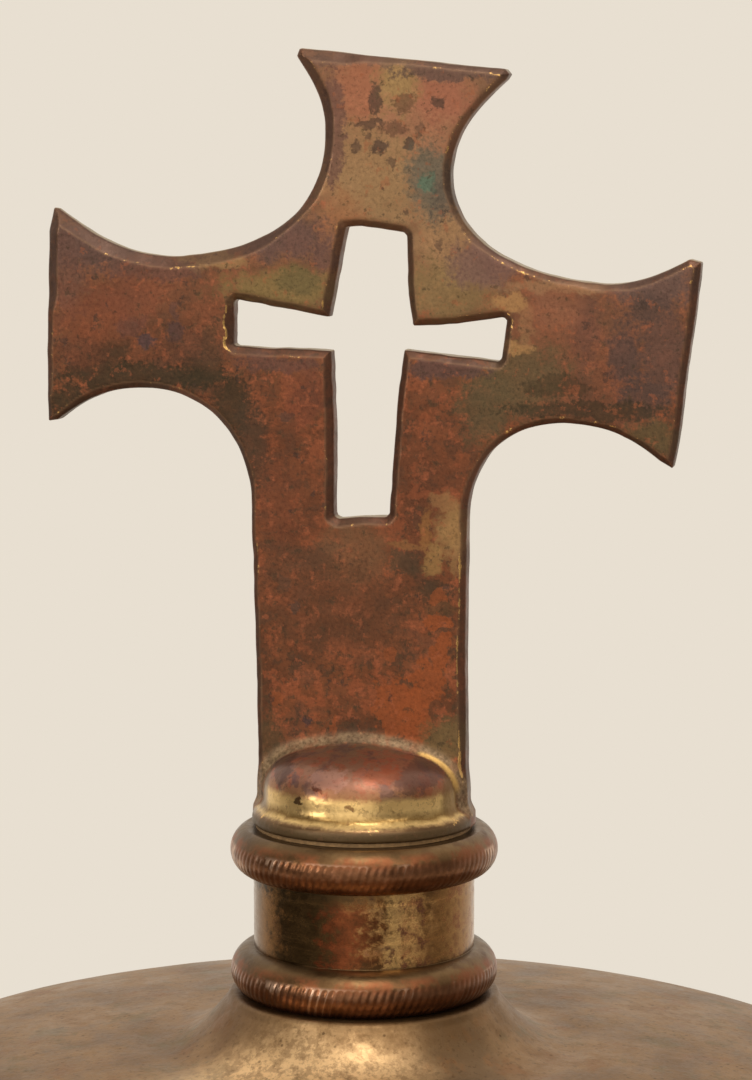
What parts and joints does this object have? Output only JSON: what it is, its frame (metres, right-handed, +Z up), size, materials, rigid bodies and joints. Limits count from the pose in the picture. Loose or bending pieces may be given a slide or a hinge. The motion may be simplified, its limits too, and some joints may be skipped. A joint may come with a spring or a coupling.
{
  "type": "processional cross head",
  "caption": "Brass cross with a pierced cross, screwed on a milled collar over a wide domed knop, with a socket below that clamps on a round staff.",
  "frame": {"origin": "centre of the mouth of the staff socket, at the bottom of the part", "axes": "+Z up along the staff axis; the cross plate lies in the XZ plane and its front faces -Y; the thumbscrew is at the back, +Y"},
  "size_m": [0.1868, 0.1868, 0.2899],
  "materials": {
    "cross_brass": "aged, red-brown oxide over bare patches",
    "ring_brass": "aged, milled edge worn bright",
    "collar_brass": "aged, turned",
    "knop_brass": "aged, dull spun sheet",
    "girdle_brass": "aged, turned",
    "socket_brass": "aged, drawn tube",
    "inner_brass": "turned, not exposed to the air",
    "screw_brass": "handled, worn bright",
    "steel": "oiled mild steel",
    "leather": "dark, compressed"
  },
  "bodies": {
    "stack": {"upper_milled_ring": "ring_brass", "collar_tube": "collar_brass", "lower_milled_ring": "ring_brass", "collar_cup": "inner_brass", "clamp_nut": "steel", "center_stud": "steel", "knop_upper_shell": "knop_brass", "knop_girdle": "girdle_brass", "knop_lower_shell": "knop_brass", "knop_spacer_tube": "inner_brass", "under_collar_ring": "socket_brass", "staff_socket": "socket_brass", "socket_plug": "inner_brass", "stud_washer": "steel", "stud_nut": "steel", "socket_mouth_ring": "socket_brass", "screw_boss": "socket_brass"},
    "seat": {"cross_seat_washer": "leather"},
    "cross": {"cross_casting": "cross_brass"},
    "pad": {"pressure_pad": "screw_brass"},
    "screw": {"thumbscrew": "screw_brass"}
  },
  "joints": [
    {"name": "cross_lift", "type": "slide", "parent": "stack", "child": "seat", "axis": [0, 0, 1], "range_m": [0, 0.009]},
    {"name": "cross_turn", "type": "hinge", "parent": "seat", "child": "cross", "pos_m": [0, 0, 0.1681], "axis": [0, 0, 1], "range_deg": [0, 2160]},
    {"name": "pad_travel", "type": "slide", "parent": "stack", "child": "pad", "axis": [0, -1, 0], "range_m": [0, 0.003]},
    {"name": "thumbscrew_turn", "type": "hinge", "parent": "pad", "child": "screw", "pos_m": [0, 0.022, 0.024], "axis": [0, -1, 0], "range_deg": [0, 1080]}
  ],
  "couplings": [
    {"joint": "cross_lift", "follows": "cross_turn", "m_per_rad": 0.0002387},
    {"joint": "thumbscrew_turn", "follows": "pad_travel", "rad_per_m": 6283.2}
  ]
}
